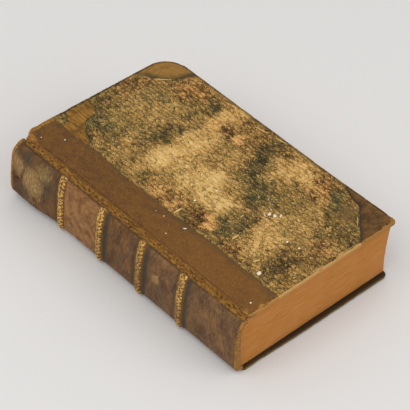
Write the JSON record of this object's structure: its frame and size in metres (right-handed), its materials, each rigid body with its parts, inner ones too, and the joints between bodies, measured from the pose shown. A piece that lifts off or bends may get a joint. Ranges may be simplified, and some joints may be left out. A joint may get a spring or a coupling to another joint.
{
  "type": "antique leather book",
  "caption": "Worn half-leather octavo with raised bands, leather corners, marbled paper sides and covers that open.",
  "frame": {"origin": "middle of the underside of the whole book's box, as it lies on its back cover", "axes": "+X from the joint to the fore-edge, +Y from tail to head, +Z from the back cover to the front cover"},
  "size_m": [0.1398, 0.215, 0.0505],
  "materials": {
    "leaves": "edges of aged leaves",
    "endpaper": "matt, toned",
    "lining": "matt",
    "cord": "matt",
    "endband": "matt",
    "spine_leather": "rubbed, semi-matt, gilt on the bands",
    "label_leather": "rubbed, semi-matt",
    "pasteboard": "matt",
    "marbled_paper": "rubbed, matt",
    "side_leather": "rubbed, semi-matt",
    "corner_leather": "rubbed, semi-matt"
  },
  "bodies": {
    "text_block": {"text_block": "leaves", "spine_lining": "lining", "sewing_cord_1": "cord", "sewing_cord_2": "cord", "sewing_cord_3": "cord", "sewing_cord_4": "cord", "head_endband": "endband", "tail_endband": "endband", "spine_leather": "spine_leather", "title_label": "label_leather", "front_flyleaf": "endpaper", "back_flyleaf": "endpaper"},
    "front_cover": {"front_board": "pasteboard", "front_cord_slips": "cord", "front_pastedown": "endpaper", "front_marbled_paper": "marbled_paper", "front_leather_side": "side_leather", "front_head_corner": "corner_leather", "front_tail_corner": "corner_leather"},
    "back_cover": {"back_board": "pasteboard", "back_cord_slips": "cord", "back_pastedown": "endpaper", "back_marbled_paper": "marbled_paper", "back_leather_side": "side_leather", "back_head_corner": "corner_leather", "back_tail_corner": "corner_leather"}
  },
  "joints": [
    {"name": "front_cover_hinge", "type": "hinge", "parent": "text_block", "child": "front_cover", "pos_m": [-0.06005, 0, 0.0495], "axis": [0, -1, 0], "range_deg": [0, 180]},
    {"name": "back_cover_hinge", "type": "hinge", "parent": "text_block", "child": "back_cover", "pos_m": [-0.06005, 0, 0.001], "axis": [0, 1, 0], "range_deg": [0, 180]}
  ]
}
